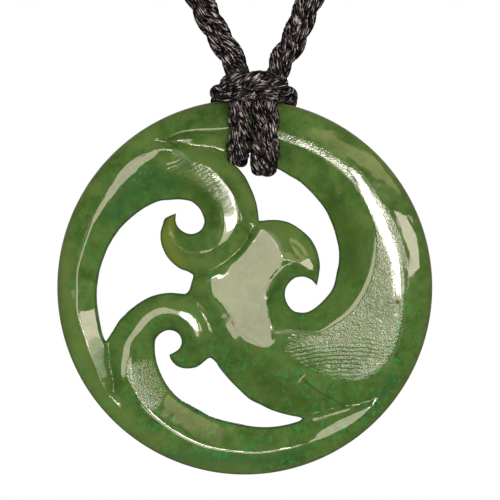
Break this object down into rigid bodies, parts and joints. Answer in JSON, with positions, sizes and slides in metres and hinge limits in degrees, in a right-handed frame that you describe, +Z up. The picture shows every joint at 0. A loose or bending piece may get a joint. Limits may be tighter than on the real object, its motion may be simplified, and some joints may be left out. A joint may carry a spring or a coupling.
{
  "type": "triple koru pendant on a neck cord",
  "caption": "Round carved greenstone pendant with spiral koru arms and open windows, hung by a cow hitch from a black braided neck cord that is closed by a barrel knot at the nape.",
  "frame": {"origin": "the nape: where the closing knot of the neck loop rests on the back of the neck", "axes": "+Z up as worn, the pendant's carved face looks along -Y, +X to the right as the picture shows it"},
  "size_m": [0.124, 0.1326, 0.1894],
  "materials": {
    "greenstone": "polished, slightly translucent nephrite with a few emerald flecks",
    "braided_cord": "black waxed braid with beige glints",
    "knot_cord": "black waxed cord, wound"
  },
  "bodies": {
    "root": {"pendant": "greenstone", "cord": "braided_cord", "slide_knot": "knot_cord"}
  },
  "joints": []
}
